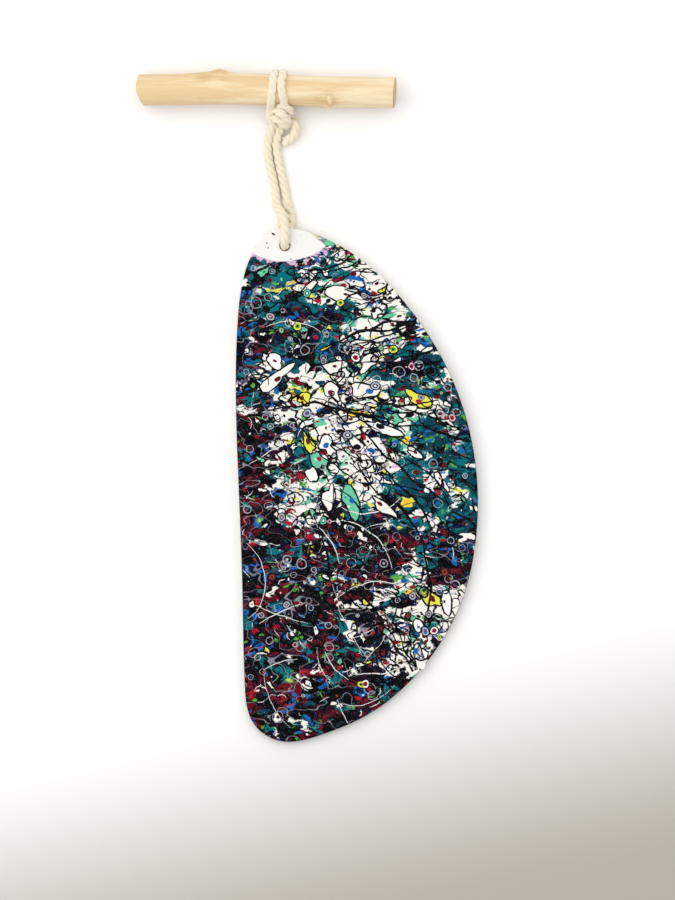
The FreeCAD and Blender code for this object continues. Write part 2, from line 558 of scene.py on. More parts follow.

# %% [markdown]
# ## Unbleached cotton
#
# Each ply is a bundle of fibres that run along it with a slight twist of their own. The pattern therefore
# follows the ply's own UV map, u along it and v round it. Turning v into a circle hides the seam. The grooves
# between the plies get painted shade, a darker and warmer colour: a value kept on each point says how deep it
# lies.


# %% How deep each point of a cord lies
BATCH = 2000


def mark_depth(cord, line, low, high):
    """Keeps on each point 0 in the cord's grooves and 1 on its crowns."""
    places = np.array([v.co for v in cord.data.vertices])
    depth = np.empty(len(places))
    for start in range(0, len(places), BATCH):
        part = places[start:start + BATCH]
        depth[start:start + BATCH] = np.linalg.norm(part[:, None] - line[None, ::3], axis=2).min(1)
    crown = ease(depth, low, high)
    attribute = cord.data.attributes.new("crown", "FLOAT", "POINT")
    attribute.data.foreach_set("value", crown.astype(np.float32))


mark_depth(loop_cord, loop_line, 0.9 * MM, 1.6 * MM)
mark_depth(hitch_cord, hitch_line, 0.55 * MM, 1.2 * MM)
print("marked", len(loop_cord.data.vertices) + len(hitch_cord.data.vertices), "points")

# %% The cotton material
COTTON_LIGHT = (0.89, 0.815, 0.65, 1.0)
COTTON_DARK = (0.79, 0.69, 0.51, 1.0)
# The darker, warmer colour of the painted shade in the grooves between the plies.
COTTON_GROOVE_SHADE = (0.60, 0.46, 0.28, 1.0)
FIBRES_ALONG = 90.0
FIBRES_ROUND = 5.0
FIBRE_TWIST = 60.0


def cotton_material():
    """Cream cotton fibres that run along each ply."""
    material, tree, shader = start_material("unbleached_cotton", 0.95)
    uv = parts_of(add_node("ShaderNodeUVMap", {"uv_map": "UVMap"}, {}, tree).outputs["UV"])
    around = times(uv["X"], FIBRE_TWIST, times(uv["Y"], 2 * math.pi))
    circle_x = times(calculate("COSINE", around), FIBRES_ROUND)
    circle_y = times(calculate("SINE", around), FIBRES_ROUND)
    along = times(uv["X"], FIBRES_ALONG)
    place = add_node("ShaderNodeCombineXYZ", {}, {"X": circle_x, "Y": circle_y, "Z": along})
    fibres = cloud(place.outputs["Vector"], 1.0, 4.0, 0.7)
    blotch = cloud(place_in_mm(tree), 2.5, 2.0)
    colour = mix(rise(fibres, 0.62, 0.36), COTTON_LIGHT, COTTON_DARK)
    colour = mix(rise(blotch, 0.45, 0.7), colour, COTTON_DARK, 0.35)
    crown = add_node("ShaderNodeAttribute", {"attribute_name": "crown"}, {}, tree).outputs["Fac"]
    # Painted shade: the grooves between the plies are mixed towards a darker, warmer colour.
    colour = mix(calculate("SUBTRACT", 1.0, crown), colour, COTTON_GROOVE_SHADE, 0.6)
    coat(shader, colour, times(fibres, 0.2, 0.8), 0.15)
    shader.inputs["Sheen Weight"].default_value = 0.25
    shader.inputs["Sheen Roughness"].default_value = 0.6
    bump(shader, fibres, 0.55, 0.10)
    return material


# %% The fuzz's material, and both put on
def fuzz_material():
    """The same cotton for the loose ends, which are too thin to show a pattern of their own."""
    material, tree, shader = start_material("cotton_fuzz", 0.9)
    colour = mix(cloud(place_in_mm(tree), 1.2, 1.0), COTTON_LIGHT, COTTON_DARK)
    tree.links.new(colour, shader.inputs["Base Color"])
    return material


cotton = cotton_material()
fuzz_finish = fuzz_material()
for cord, fibre_ends in ((loop_cord, loop_fuzz), (hitch_cord, hitch_fuzz)):
    cord.data.materials.append(cotton)
    fibre_ends.data.materials.append(fuzz_finish)

# %% [markdown]
# ## What the cords are to the rest of the model
#
# A cord is limp, so it can't simply ride on one part. The engineer's model lets it fold across the middle of
# its legs. Here the engineer's cord parts are hidden and the loop stays where it lies, tied to no part and
# with no bend at the fold. The hitch keeps its shape, and the stick turns inside it.

LOOP_NODES = ("cord_bight", "cord_leg_left_lower", "cord_leg_right_lower",
              "cord_leg_left_upper", "cord_leg_right_upper")
HITCH_NODES = ("cord_hitch_turn_left", "cord_hitch_turn_right", "cord_knot", "cord_tail")


for piece, line, nodes, end in ((loop_cord, loop_line, LOOP_NODES, "object"),
                                (hitch_cord, hitch_line, HITCH_NODES, "bare")):
    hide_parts(*nodes)
for piece in (loop_cord, loop_fuzz):
    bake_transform(piece)
for piece in (hitch_cord, hitch_fuzz):
    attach(piece, "hitch")

# %% [markdown]
# ## The stick
#
# A short straight branch, peeled and sawn at both ends. A turned cylinder would look machined, so this one
# starts as a cylinder with many rings and every point is then moved: the branch wanders a little, swells
# where a twig grew on its upper side, carries a stub of another twig on its front, and has the long shallow
# flats that peeling leaves. Its ends are sawn a little aslant.

# %% A cylinder with many rings, laid along X
STICK_LEFT, STICK_RIGHT = (corner[0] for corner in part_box("stick"))
STICK_SIDES = 80
STICK_RINGS = 200
CAP_INSETS = (0.04, 0.3, 0.3)

shape = bmesh.new()
bmesh.ops.create_cone(shape, cap_ends=True, segments=STICK_SIDES, radius1=1.0, radius2=1.0, depth=2.0)
long_edges = [edge for edge in shape.edges if abs(edge.verts[0].co.z - edge.verts[1].co.z) > 1.0]
bmesh.ops.subdivide_edges(shape, edges=long_edges, cuts=STICK_RINGS, use_grid_fill=True)
for inset in CAP_INSETS:
    caps = [face for face in shape.faces if len(face.verts) == STICK_SIDES]
    bmesh.ops.inset_individual(shape, faces=caps, thickness=inset, use_even_offset=True)
caps = [face for face in shape.faces if len(face.verts) == STICK_SIDES]
bmesh.ops.poke(shape, faces=caps)
bmesh.ops.rotate(shape, verts=shape.verts, matrix=Matrix.Rotation(math.radians(90), 3, "Y"))
print("the stick starts with", len(shape.faces), "faces")

# %% The branch's own shape, in millimetres along and across it
WANDER = ((-70, 126.0), (-52, 126.25), (-35, 126.85), (-20, 126.35), (-8, 126.0), (10, 125.15), (38, 124.95))
GIRTH = ((-70, 6.2), (-50, 6.25), (-35, 6.4), (-20, 6.15), (0, 6.12), (12, 6.25), (38, 6.15))
SWELL_PLACE = -35.0
SWELL_HEIGHT = 1.15
STUB_PLACE = (9.1, -4.4)
STUB_HEIGHT = 1.15

# Each kind of unevenness: its height, and how fast it changes along the branch and round it.
BARK = ((0.16, 0.035, 0.9), (0.05, 0.12, 5.0), (0.018, 0.5, 16.0))


# %% How far the bark side stands out
def read_off(value, table):
    """A smooth value between the pairs of a short table."""
    places, heights = zip(*table)
    spots = np.linspace(-4.0, 4.0, 9) + value
    return float(np.mean(np.interp(spots, places, heights)))


def hill(distance, reach):
    """1 in the middle, 0 from the reach outwards, rounded both ways."""
    share = max(0.0, 1.0 - (distance / reach) ** 2)
    return share * share


def grown_radius(place, angle, depth):
    """How far the bark side stands from the branch's middle, at a place along it and an angle round it."""
    radius = read_off(place, GIRTH)
    for height, along, around in BARK:
        spot = Vector((place * along, math.cos(angle) * around, math.sin(angle) * around))
        radius += height * noise.noise(spot)
    upper = max(0.0, math.cos(angle))
    past = place - SWELL_PLACE
    slope = 15.0 if past < 0 else 9.0
    radius += (0.45 * hill(past, slope) + 0.7 * hill(past, 4.0)) * upper ** 3 * SWELL_HEIGHT
    across = radius * math.cos(angle)
    if depth > 0:
        along = place - STUB_PLACE[0]
        aside = across - STUB_PLACE[1]
        far = math.hypot(along, aside * 0.72)
        radius += STUB_HEIGHT * hill(far, 2.1) - 0.22 * hill(far - 2.3, 0.9)
        radius += 0.35 * hill(far, 6.5)
    return radius


# %% Move every point to its place on the branch
TIP = 1.2


def left_end(across):
    """How far the rounded left end's face lies in from the stick's left tip, in millimetres."""
    return (0.055 if across < TIP else 0.045) * (across - TIP) ** 2


def right_end(across, up):
    """The same at the right end, whose sawn face leans back a little."""
    return 0.06 * abs(5.8 - across) + 0.10 * (up + 6.0) - 0.3


middle = (STICK_LEFT + STICK_RIGHT) / 2
half_length = (STICK_RIGHT - STICK_LEFT) / 2 / MM
for vert in shape.verts:
    share = vert.co.x
    reach = min(1.0, math.hypot(vert.co.y, vert.co.z))
    angle = math.atan2(vert.co.z, vert.co.y)
    place = middle / MM + share * half_length
    radius = reach * grown_radius(place, angle, vert.co.z)
    across, up = radius * math.cos(angle), radius * math.sin(angle)
    toward_end = ease(abs(share), 0.8, 1.0)
    pull = left_end(across) if share < 0 else -right_end(across, up)
    vert.co = (
        (place + pull * toward_end) * MM,
        (read_off(place, WANDER) + across) * MM,
        STICK_AXIS_Z + up * MM,
    )
print("the branch is", round(2 * half_length, 1), "mm long")

# %% Mark the sawn ends and make the mesh
SAWN = 0.7
WIDEST_END = 7.5 * MM

for face in shape.faces:
    rim = max(math.hypot(v.co.y - STICK_AXIS_Y, v.co.z - STICK_AXIS_Z) for v in face.verts)
    face.material_index = 1 if abs(face.normal.x) > SAWN and rim < WIDEST_END else 0
    face.smooth = True
bmesh.ops.recalc_face_normals(shape, faces=shape.faces)
stick_mesh = bpy.data.meshes.new("peeled_stick")
shape.to_mesh(stick_mesh)
shape.free()
stick = show("peeled_stick", stick_mesh)
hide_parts("stick")
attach(stick, "handle")
print("sawn faces:", sum(face.material_index for face in stick_mesh.polygons))

# %% [markdown]
# ## Peeled wood and sawn end grain
#
# Peeled wood is pale yellow with fine fibres along the branch, darker where a twig grew, with long soft
# patches of tan where the inner bark stayed on. Noise stretched along X gives both. The sawn ends show the
# same wood cut across, so they have rings about the pith, a darker rim and saw marks, and they drink in more
# dirt.

# %% The peeled wood
WOOD_LIGHT = (0.87, 0.73, 0.48, 1.0)
WOOD_MIDDLE = (0.76, 0.555, 0.31, 1.0)
WOOD_TAN = (0.62, 0.40, 0.19, 1.0)
# The inner bark's colour, also used as painted shade on the stick's underside.
WOOD_BARK_AND_SHADE = (0.40, 0.24, 0.15, 1.0)

# Darker places on the wood: a place, a reach, and how much faster they fade in X, Y and Z.
TWIG_STAIN = ((-39.5, 131.6, 12.5), 9.0, (0.55, 1.5, 1.0))
STUB_STAIN = ((7.4, 122.3, 13.6), 5.5, (0.55, 1.0, 1.0))
STUB_FOOT = ((9.1, 121.8, 14.0), 3.4, (1.15, 0.85, 1.0))
STUB_TOP = ((9.1, 121.8, 14.6), 2.3, (1.15, 0.85, 1.0))


def stain_at(tree, centre, reach, stretch):
    """1 at a place on the piece and 0 from the reach outwards, in millimetres."""
    return rise(away_from(tree, centre, stretch), reach, reach * 0.1)


def wood_material():
    """Pale peeled wood with fibres along X."""
    material, tree, shader = start_material("peeled_wood", 0.6)
    long_fibres = cloud(place_in_mm(tree, (0.05, 1.0, 1.0)), 0.5, 4.0, 0.65)
    patches = cloud(place_in_mm(tree, (0.12, 1.0, 1.0)), 3.6, 3.0, 0.6)
    pores = cloud(place_in_mm(tree, (0.25, 1.0, 1.0)), 0.16, 1.0)
    sides = parts_of(place_in_mm(tree))
    tanned = times(sides["X"], -0.0018, patches)
    colour = mix(rise(tanned, 0.36, 0.62), WOOD_LIGHT, WOOD_MIDDLE)
    colour = mix(rise(long_fibres, 0.5, 0.72), colour, WOOD_TAN, 0.30)

    # Streaks of stain run off along the fibres from the two places where twigs grew.
    streaks = rise(cloud(place_in_mm(tree, (0.16, 1.0, 1.0), 6.0), 1.2, 3.0), 0.35, 0.62)
    by_twig = times(stain_at(tree, *TWIG_STAIN), streaks)
    by_stub = times(stain_at(tree, *STUB_STAIN), streaks)
    colour = mix(calculate("MAXIMUM", by_twig, by_stub), colour, WOOD_TAN, 0.75)
    # A darker ring round the foot of the stub.
    ring = calculate("SUBTRACT", stain_at(tree, *STUB_FOOT), stain_at(tree, *STUB_TOP))
    colour = mix(rise(ring, 0.12, 0.6), colour, WOOD_TAN, 0.85)
    colour = mix(rise(pores, 0.70, 0.78), colour, WOOD_TAN, 0.45)

    # The underside is painted darker, as painted shade, most of all on the side towards the board.
    below = rise(times(patches, 3.0, sides["Z"]), 12.4, 9.6)
    under = times(below, rise(sides["Y"], 124.0, 121.0))
    under = calculate("MAXIMUM", under, rise(sides["Z"], 8.0, 6.0))
    colour = mix(under, colour, WOOD_BARK_AND_SHADE, 0.55)
    coat(shader, colour, times(long_fibres, 0.3, 0.42), 0.3)
    bump(shader, times(patches, 0.6, long_fibres), 0.35, 0.12)
    return material


# %% The end grain
GRAIN_LIGHT = (0.72, 0.55, 0.34, 1.0)
GRAIN_DARK = (0.42, 0.28, 0.16, 1.0)
RING_WIDTH = 0.75
PITH_SHIFT = (0.0, -125.9, -8.85)


def end_grain_material():
    """Growth rings about the pith, with saw marks across them."""
    material, tree, shader = start_material("sawn_end_grain", 0.8)
    centred = place_in_mm(tree, (0.0, 1.0, 1.0), 0.0, PITH_SHIFT)
    away = length_of(centred)
    wobble = cloud(centred, 4.0, 2.0)
    rings = times(wobble, 2.2, calculate("DIVIDE", away, RING_WIDTH))
    rings = calculate("FRACT", rings)
    saw = cloud(place_in_mm(tree, (1.0, 0.08, 1.0), 25.0), 0.35, 2.0)
    colour = mix(rise(rings, 0.2, 1.0), GRAIN_LIGHT, GRAIN_DARK)
    colour = mix(rise(saw, 0.45, 0.7), colour, GRAIN_DARK, 0.4)
    colour = mix(rise(away, 4.8, 6.2), colour, WOOD_BARK_AND_SHADE, 0.7)
    colour = mix(rise(away, 0.9, 0.4), colour, WOOD_BARK_AND_SHADE)
    coat(shader, colour, times(saw, 0.2, 0.7))
    bump(shader, calculate("ADD", saw, rings), 0.4, 0.10)
    return material


stick.data.materials.append(wood_material())
stick.data.materials.append(end_grain_material())
print("the stick has", len(stick.data.materials), "materials")

# %% [markdown]
# ## The painted face: where each colour goes
#
# The board's face is covered edge to edge with abstract doodles: washes of colour, a web of ink, dots, rings
# and scratches. Only a lens round the hole is bare. Such a picture could be drawn point by point, but what a
# person sees is its rhythm: teal at the upper left and on the right, light in the middle, nearly black lower
# down. So a few soft zones say how teal, how dark and how light each part is, and everything that is painted
# asks them.

# %% The zones, in millimetres: a middle, a reach, and how much higher than wide it is
ZONES = {
    "teal": (
        ((-14.0, 46.0), 30.0, 1.0), ((-16.0, 50.0), 18.0, 0.7), ((60.0, -20.0), 38.0, 1.4),
        ((38.0, 14.0), 26.0, 0.6), ((54.0, -43.0), 24.0, 1.0), ((4.0, 26.0), 26.0, 0.6),
        ((54.0, -43.0), 16.0, 1.0),
    ),
    "dark": (
        ((-2.0, -98.0), 66.0, 1.2), ((3.0, 28.0), 26.0, 0.6), ((-22.0, -22.0), 26.0, 1.7),
        ((22.0, -55.0), 40.0, 0.5), ((-26.0, 36.0), 18.0, 1.6), ((60.0, -64.0), 18.0, 1.0),
        ((38.0, 12.0), 18.0, 0.6),
    ),
    "light": (
        ((22.0, -8.0), 32.0, 1.1), ((42.0, -86.0), 34.0, 0.9), ((26.0, 46.0), 20.0, 0.7),
        ((-4.0, -4.0), 15.0, 1.0), ((54.0, 2.0), 13.0, 1.0), ((2.0, 50.0), 12.0, 0.7),
        ((24.0, 28.0), 20.0, 0.6), ((2.0, -40.0), 20.0, 1.1), ((14.0, -68.0), 15.0, 0.8),
    ),
}
ZONE_CORE = 0.25


def zone_at(name, x, y):
    """How strongly a zone holds at a place in millimetres, from 0 to 1."""
    total = 0.0
    for (middle_x, middle_y), reach, height in ZONES[name]:
        away = math.hypot(x - middle_x, (y - middle_y) / height)
        total += float(1 - ease(away, ZONE_CORE * reach, reach))
    return min(1.0, total)


def zone_socket(tree, name):
    """The same zone as a shader socket."""
    total = 0.0
    for middle, reach, height in ZONES[name]:
        away = away_from(tree, (*middle, 0.0), (1.0, 1.0 / height, 0.0))
        total = calculate("ADD", total, rise(away, reach, ZONE_CORE * reach))
    return calculate("MINIMUM", total, 1.0)


print("zones:", {name: len(patches) for name, patches in ZONES.items()})

# %% The paint box
PAINT_SHINE = 0.05
PAINTS = {
    "primer": tint(238, 235, 227),
    # Raw wood, dark enough to stand for the painted shade inside the hole.
    "raw_wood_in_shade": tint(96, 74, 54),
    "white": tint(240, 239, 236),
    "ink": tint(2, 2, 6),
    "teal": tint(0, 104, 112),
    "deep_teal": tint(0, 60, 76),
    "mint": tint(104, 192, 156),
    "navy": tint(8, 14, 52),
    "blue": tint(16, 96, 172),
    "grey_blue": tint(84, 106, 126),
    "plum": tint(34, 10, 30),
    "burgundy": tint(92, 10, 26),
    "crimson": tint(160, 18, 40),
    "rust": tint(140, 64, 44),
    "green": tint(80, 160, 62),
    "lime": tint(224, 220, 74),
    "amber": tint(238, 182, 44),
    "lilac": tint(214, 182, 208),
    "violet": tint(92, 52, 96),
    "bare": tint(235, 233, 229),
    "grey": tint(176, 178, 188),
}
BACK_STREAK = tint(222, 214, 198)
print(len(PAINTS), "paints")

# %% [markdown]
# ## The painted face: washes, web and specks in the material
#
# The lowest layers are a material. Each wash is noise cut off at a level, so it has the ragged edge of thin
# paint, and the zones raise or lower that level. Over the washes lie a web of ink from a Voronoi pattern's
# cell borders, dots from its cell middles, thin lines where a noise crosses its own middle, and the fine
# specks that a nearly dry brush leaves. All of it reads the place on the piece, so it stays put when the
# board swings.

# %% The washes
WASHES = (
    # paint, paint where it is thick, blotch in mm, level, pull of the teal, dark and light zones, start
    ("lilac", "lilac", 6.0, 0.655, (0.0, 0.0, 0.02), 17.0),
    ("mint", "mint", 9.0, 0.60, (0.02, -0.02, 0.02), 11.0),
    ("teal", "deep_teal", 12.0, 0.560, (0.17, 0.02, -0.05), 37.0),
    ("lime", "amber", 8.0, 0.64, (0.0, -0.01, 0.02), 53.0),
    ("green", "mint", 8.0, 0.66, (0.0, 0.0, 0.01), 83.0),
    ("blue", "grey_blue", 9.0, 0.645, (0.03, 0.03, 0.0), 71.0),
    ("navy", "ink", 13.0, 0.560, (-0.05, 0.20, -0.10), 131.0),
    ("plum", "burgundy", 12.0, 0.650, (-0.13, 0.19, -0.09), 151.0),
    ("ink", "ink", 8.0, 0.600, (-0.05, 0.11, -0.09), 107.0),
    ("burgundy", "crimson", 7.0, 0.645, (-0.03, 0.03, 0.0), 97.0),
    ("teal", "deep_teal", 9.0, 0.625, (0.08, 0.02, -0.02), 173.0),
    ("blue", "navy", 7.5, 0.660, (-0.02, 0.03, -0.02), 191.0),
    ("green", "lime", 6.0, 0.690, (0.0, 0.02, 0.0), 241.0),
    ("primer", "primer", 8.5, 0.600, (-0.02, -0.05, 0.07), 263.0),
)
print(len(WASHES), "washes")

# %% Helpers for flat patterns
STROKE_STRETCH = (0.82, 1.18, 0.0)
STROKE_LEAN = 7.0


def shifted(place, start):
    """The same place counted from elsewhere, so that two patterns of one size differ."""
    step = (start, 1.7 * start, 0.0)
    return add_node("ShaderNodeVectorMath", {"operation": "ADD"}, {0: place, 1: step}).outputs[0]


def wobbly_place(tree):
    """The flat place in millimetres, drawn out along the strokes and pushed about by an unsteady hand."""
    place = place_in_mm(tree, STROKE_STRETCH, STROKE_LEAN)
    for size, push in ((1.3, 0.5), (9.0, 7.0)):
        push_by = cloud(place, size, 2.0, 0.5, "Color")
        place = add_node("ShaderNodeVectorMath", {"operation": "MULTIPLY_ADD"},
                         {0: push_by, 1: (push, push, 0.0), 2: place}).outputs[0]
    return place


def cells(place, size, feature, output):
    """A pattern of cells about size millimetres across."""
    settings = {"feature": feature, "voronoi_dimensions": "2D"}
    node = add_node("ShaderNodeTexVoronoi", settings, {"Vector": place, "Scale": 1.0 / size})
    return node.outputs[output]


def thin_lines(place, size, width):
    """1 along the lines where a noise crosses its own middle."""
    off_middle = calculate("ABSOLUTE", calculate("SUBTRACT", cloud(place, size, 1.0), 0.5))
    return rise(off_middle, width * 1.3, width * 0.6)


# %% The first layers of the picture: washes and dots
EDGE = 0.008
THICK_FROM = 0.05
THICK_TO = 0.10
RAGGEDNESS = 0.16
DAB_CHANCES = (("burgundy", 0.30), ("crimson", 0.52), ("deep_teal", 0.66), ("blue", 0.76), ("ink", 0.84))


def lay_washes(place, colour, zones):
    """Ragged washes of thin paint, one over another."""
    rough = calculate("SUBTRACT", cloud(place, 0.9, 3.0, 0.6), 0.5)
    ragged = times(rough, RAGGEDNESS)
    for paint, thick, blotch, level, pulls, start in WASHES:
        value = calculate("ADD", cloud(shifted(place, start), blotch, 2.0, 0.5), ragged)
        for zone, pull in zip(ZONES, pulls):
            value = times(zones[zone], pull, value)
        thickness = rise(value, level + THICK_FROM, level + THICK_TO)
        wash = mix(thickness, PAINTS[paint], PAINTS[thick])
        colour = mix(rise(value, level - EDGE, level + EDGE), colour, wash)
    return colour


def lay_dots(place, colour):
    """Small round dabs, each in one colour of the box."""
    for size, start, level in ((3.2, 5.0, 0.56), (5.6, 43.0, 0.50)):
        here = shifted(place, start)
        away = cells(here, size, "F1", "Distance")
        random_colour = cells(here, size, "F1", "Color")
        chance = add_node("ShaderNodeSeparateColor", {}, {"Color": random_colour}).outputs
        past_rim = calculate("SUBTRACT", away, times(chance["Red"], 0.16, 0.10))
        chosen = rise(chance["Green"], level, level + 0.01)
        dab = PAINTS["ink"]
        for paint, low in DAB_CHANCES:
            dab = mix(rise(chance["Blue"], low, low + 0.001), dab, PAINTS[paint])
        colour = mix(times(rise(past_rim, 0.03, -0.02), chosen), colour, dab)
    return colour


# %% The next layers: ink lines and specks
def lay_ink_web(place, colour, zones):
    """Ink lines round irregular cells, broken here and there."""
    for size, width, start, keep in ((13.0, 0.036, 0.0, 0.44), (7.0, 0.046, 61.0, 0.53)):
        here = shifted(place, start)
        border = cells(here, size, "DISTANCE_TO_EDGE", "Distance")
        wide = times(cloud(here, 2.2, 2.0), width * 2.4, -0.6 * width)
        share = rise(calculate("SUBTRACT", border, wide), 0.012, -0.012)
        kept = cloud(shifted(place, start + 9.0), 9.0, 2.0)
        kept = rise(kept, keep - 0.01, keep + 0.01)
        colour = mix(times(share, kept), colour, PAINTS["ink"])
    dark_lines = thin_lines(shifted(place, 211.0), 9.0, 0.014)
    colour = mix(dark_lines, colour, PAINTS["ink"])
    pale_lines = thin_lines(shifted(place, 307.0), 9.0, 0.006)
    return mix(times(pale_lines, zones["dark"]), colour, PAINTS["grey"], 0.5)


def lay_specks(place, colour):
    """Pale specks over dark paint and dark ones over pale paint, as a nearly dry brush leaves them."""
    lightness = add_node("ShaderNodeRGBToBW", {}, {"Color": colour}).outputs["Val"]
    fine = cloud(shifted(place, 401.0), 0.42, 3.0, 0.75)
    coarse = cloud(shifted(place, 503.0), 3.0, 3.0, 0.7)
    speck = times(rise(fine, 0.60, 0.65), rise(coarse, 0.45, 0.57))
    speck_colour = mix(rise(lightness, 0.35, 0.15), PAINTS["deep_teal"], PAINTS["grey"])
    colour = mix(speck, colour, speck_colour, 0.5)
    stain = cloud(shifted(place, 601.0), 3.0, 3.0)
    return mix(rise(stain, 0.55, 0.75), colour, PAINTS["grey_blue"], 0.12)


# %% The bare lens round the hole: inside a circle, and on the near side of a slanting line
HOLE = (-8.9, 64.0)
LENS_MIDDLE = (-9.36, 83.65)
LENS_RADIUS = 25.9
LENS_CORNER = (7.5, 64.0)
LENS_SLOPE = (0.63, 0.777)
LENS_TIP = (8.6, 65.2)
LENS_GAP = 0.5
FLAT = (1.0, 1.0, 0.0)


def in_lens(x, y):
    """True on the bare part of the board and within a small gap round it, at a place in millimetres."""
    below = math.hypot(x - LENS_MIDDLE[0], y - LENS_MIDDLE[1]) - LENS_RADIUS
    beside = (x - LENS_CORNER[0]) * LENS_SLOPE[0] + (y - LENS_CORNER[1]) * LENS_SLOPE[1]
    return below < LENS_GAP and beside < LENS_GAP


def lens_socket(tree):
    """1 inside the lens and 0 outside, with an unsteady brushed edge, and the same for a rim below it."""
    unsteady = times(cloud(place_in_mm(tree), 2.4, 2.0), 0.9, -0.45)
    away = away_from(tree, (*LENS_MIDDLE, 0.0), FLAT)
    below = calculate("SUBTRACT", calculate("ADD", away, unsteady), LENS_RADIUS)
    corner = place_in_mm(tree, FLAT, 0.0, (-LENS_CORNER[0], -LENS_CORNER[1], 0.0))
    beside = add_node("ShaderNodeVectorMath", {"operation": "DOT_PRODUCT"},
                      {0: corner, 1: (*LENS_SLOPE, 0.0)}).outputs["Value"]
    beside = calculate("ADD", beside, unsteady)
    inside = times(rise(below, 0.15, -0.15), rise(beside, 0.15, -0.15))
    patchy = cloud(shifted(place_in_mm(tree), 701.0), 2.6, 3.0)
    rim = calculate("SUBTRACT", below, times(patchy, 12.0, -4.4))
    return inside, times(rise(rim, 0.2, -0.2), rise(beside, 4.0, -4.0))


# %% The colours of the face and the edge
def face_colour(tree, place):
    """The picture, and the bare lens with its rim and its mint tip."""
    zones = {name: zone_socket(tree, name) for name in ZONES}
    colour = lay_washes(place, PAINTS["primer"], zones)
    colour = lay_dots(place, colour)
    colour = lay_ink_web(place, colour, zones)
    colour = lay_specks(place, colour)
    inside, rim = lens_socket(tree)
    rim_paint = mix(rise(cloud(place, 3.0), 0.48, 0.56), PAINTS["lilac"], PAINTS["violet"])
    colour = mix(rim, colour, rim_paint, 0.9)
    from_tip = away_from(tree, (*LENS_TIP, 0.0), (0.75, 1.2, 0.0))
    from_tip = times(cloud(place, 1.0, 3.0), 4.0, from_tip)
    colour = mix(rise(from_tip, 4.1, 3.4), colour, PAINTS["mint"])
    bare_mottle = rise(cloud(place_in_mm(tree), 1.1, 4.0, 0.75), 0.47, 0.68)
    return mix(inside, colour, mix(bare_mottle, PAINTS["bare"], PAINTS["primer"], 0.55))


def edge_colour(tree, place):
    """Ink round the board, primer round the lens, and raw wood darkened by painted shade inside the hole."""
    edge = mix(rise(parts_of(place)["Y"], 56.0, 48.0), PAINTS["primer"], PAINTS["ink"])
    from_hole = away_from(tree, (*HOLE, 0.0), FLAT)
    # Painted shade: the wall of the hole gets dark raw wood.
    return mix(rise(from_hole, 6.0, 5.0), edge, PAINTS["raw_wood_in_shade"])


# %% The board's material
def board_material():
    """The painted face, its edge, and the plain primed back."""
    material, tree, shader = start_material("painted_board", 0.5)
    place = wobbly_place(tree)
    brushed = cloud(place_in_mm(tree, (0.08, 1.0, 1.0), 12.0), 1.6, 4.0, 0.65)
    back = mix(rise(brushed, 0.35, 0.7), PAINTS["primer"], BACK_STREAK)
    facing = parts_of(add_node("ShaderNodeTexCoord", {}, {}, tree).outputs["Normal"])["Z"]
    colour = mix(rise(facing, 0.75, 0.45), face_colour(tree, place), edge_colour(tree, place))
    colour = mix(rise(facing, -0.45, -0.75), colour, back)
    film = cloud(place_in_mm(tree), 0.8, 3.0, 0.6)
    coat(shader, colour, times(film, 0.35, 0.42), PAINT_SHINE)
    weave = cloud(place_in_mm(tree), 0.30, 2.0)
    lightness = add_node("ShaderNodeRGBToBW", {}, {"Color": colour}).outputs["Val"]
    height = times(lightness, -0.6, calculate("ADD", weave, film))
    bump(shader, height, 0.35, 0.05)
    return material


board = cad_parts["board"]
board_finish = board_material()
for slot in board.material_slots:
    slot.material = board_finish
print("the board has", len(board.material_slots), "material slots")

# %% [markdown]
# ## The painted face: raised marks
#
# A material alone can't give the crisp marks that were drawn last, with a pen or the tip of a brush, and they
# stand a hair above the face. So these are real shapes, thinner than paper: flat discs for dabs, and
# flattened tubes for lines and rings. Seeded dice choose their places, and the zones say where each kind is
# likely, so the picture is new, and the same each time. First a way to find the face, which leans a little
# because cord lies under it.

# %% Where the face is
board_faces = BVHTree.FromPolygons([v.co.copy() for v in board.data.vertices],
                                   [tuple(p.vertices) for p in board.data.polygons])
ABOVE = 0.05
FLAT_ENOUGH = 0.999


def on_face(x, y):
    """The height of the painted face at a place in millimetres, or None off its flat part."""
    hit, normal, _, _ = board_faces.ray_cast(Vector((x * MM, y * MM, ABOVE)), Vector((0.0, 0.0, -1.0)))
    if hit is None or normal.z < FLAT_ENOUGH:
        return None
    return hit.z / MM


LEAN_SPOTS = (-80.0, 20.0)
low_spot, high_spot = (on_face(0.0, y) for y in LEAN_SPOTS)
LEAN = (high_spot - low_spot) / (LEAN_SPOTS[1] - LEAN_SPOTS[0])


def face_height(y):
    """The height of the face's plane, in millimetres."""
    return low_spot + LEAN * (y - LEAN_SPOTS[0])


print("the face rises", round(LEAN * 100, 2), "mm in each 100 mm towards the hole")

# %% Keep marks on the painted part
(LEFT, BOTTOM, _), (RIGHT, TOP, _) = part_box("board")
STRAY_SHARE = 0.12
dice = random.Random(11)


def may_paint(x, y):
    """True on the flat, painted part of the face."""
    return not in_lens(x, y) and on_face(x, y) is not None


def somewhere(zone, margin=0.0):
    """A random painted place, likelier where a zone is strong."""
    around = ((0, 0), (margin, 0), (-margin, 0), (0, margin), (0, -margin))
    while True:
        x = dice.uniform(LEFT, RIGHT) / MM
        y = dice.uniform(BOTTOM, TOP) / MM
        if dice.random() > STRAY_SHARE + zone_at(zone, x, y):
            continue
        if all(may_paint(x + dx, y + dy) for dx, dy in around):
            return x, y


# %% A dab: a flat disc with an uneven outline
FILM = 0.018
DAB_PAINTS = list(PAINTS)
dabs = bmesh.new()


